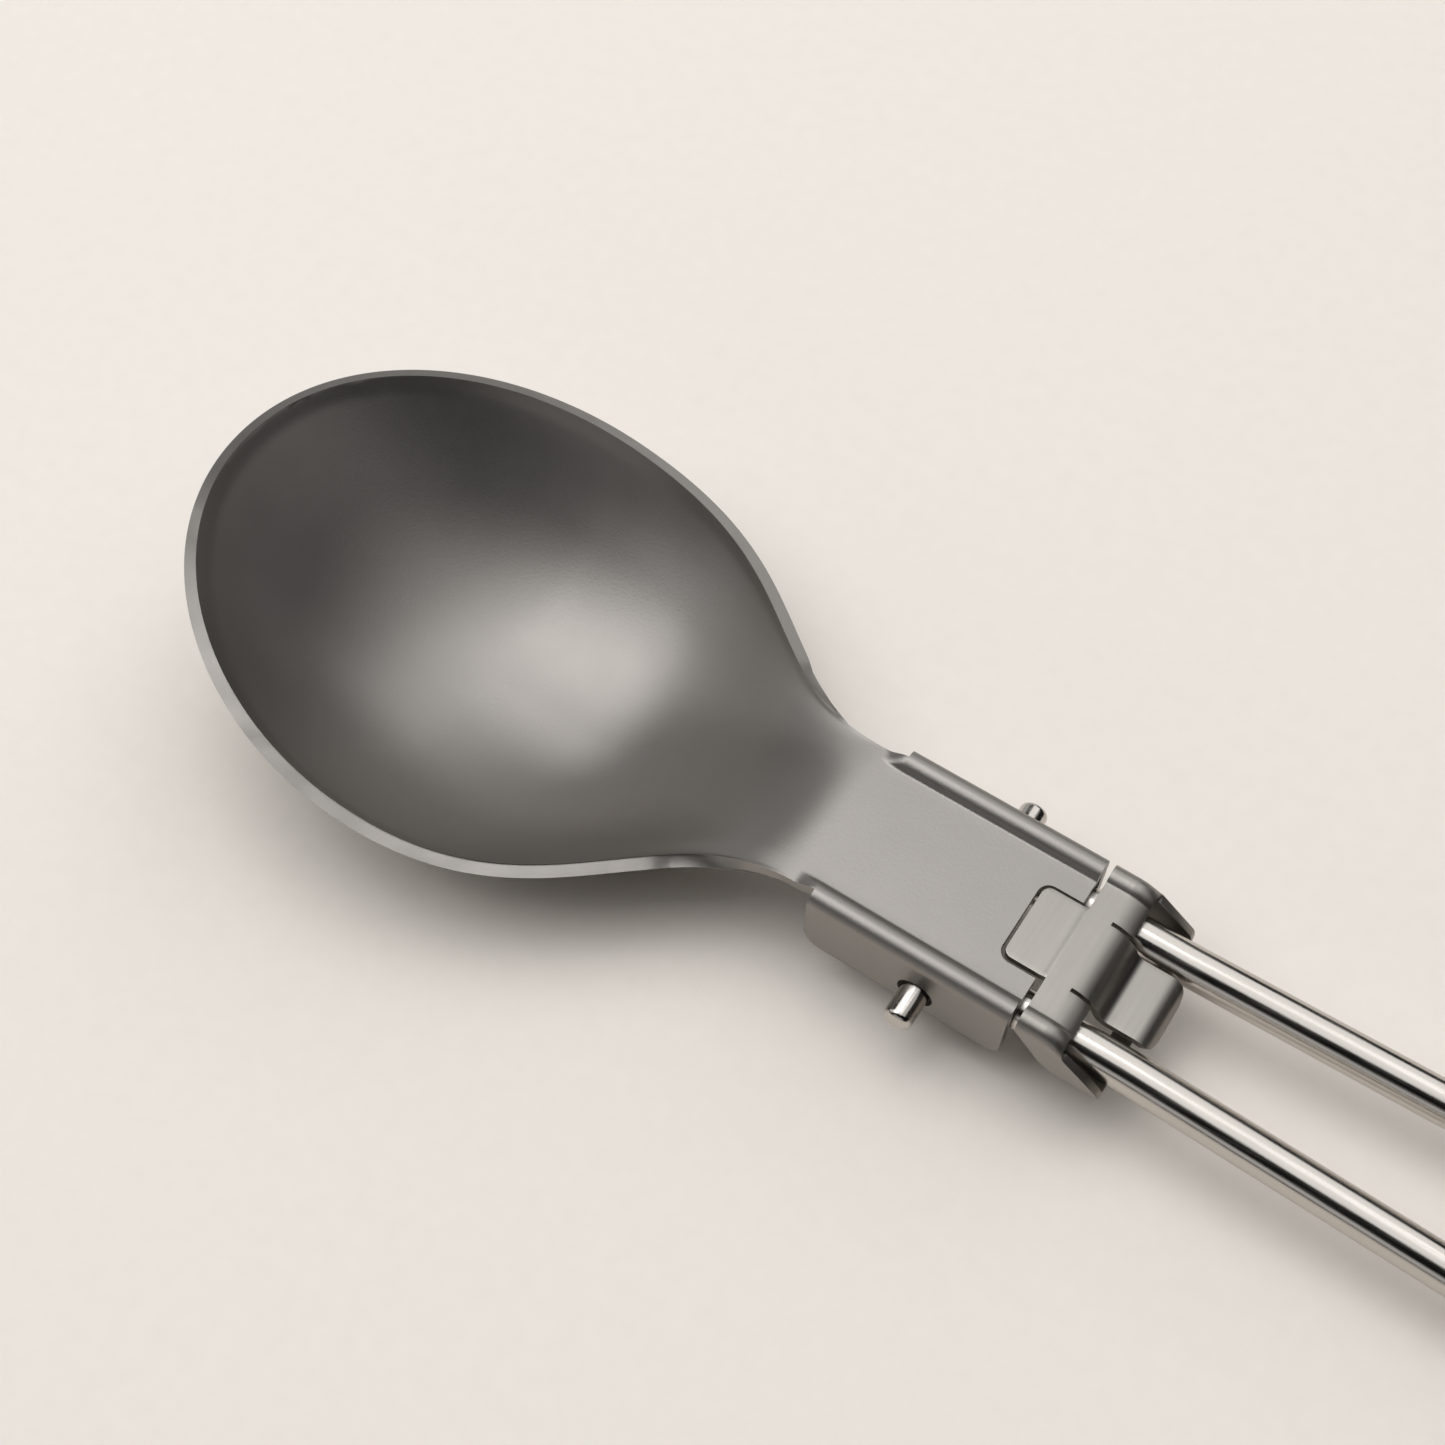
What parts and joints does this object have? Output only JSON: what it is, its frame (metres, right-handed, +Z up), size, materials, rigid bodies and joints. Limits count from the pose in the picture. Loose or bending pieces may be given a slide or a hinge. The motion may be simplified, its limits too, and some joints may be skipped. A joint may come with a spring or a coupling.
{
  "type": "folding spoon",
  "caption": "Folding camping spoon: a pressed sheet bowl with a channel neck, a bent wire handle that folds under the bowl, and a sliding sleeve that locks it straight",
  "frame": {"origin": "Middle of the spoon's box, on the surface that the open spoon lies on", "axes": "+X along the spoon from the bowl's tip to the end of the handle, +Y across, +Z up out of the bowl's mouth. The open spoon lies on its bowl and on the end of its handle, so its neck plate is tilted by 2.9 degrees"},
  "size_m": [0.1664, 0.0382, 0.0173],
  "materials": {
    "blasted_titanium": "bead-blasted titanium, matte",
    "brushed_titanium": "brushed titanium sheet, satin",
    "polished_titanium_wire": "polished titanium wire"
  },
  "bodies": {
    "head": {"spoon_head": "blasted_titanium"},
    "handle": {"wire_handle": "polished_titanium_wire"},
    "sleeve": {"locking_sleeve": "brushed_titanium"}
  },
  "joints": [
    {"name": "fold", "type": "hinge", "parent": "head", "child": "handle", "pos_m": [-0.02068, 0, 0.00572], "axis": [0, 1, 0], "range_deg": [0, 163]},
    {"name": "lock_slide", "type": "slide", "parent": "handle", "child": "sleeve", "axis": [0.9987, 0, -0.05], "range_m": [0, 0.012]}
  ]
}
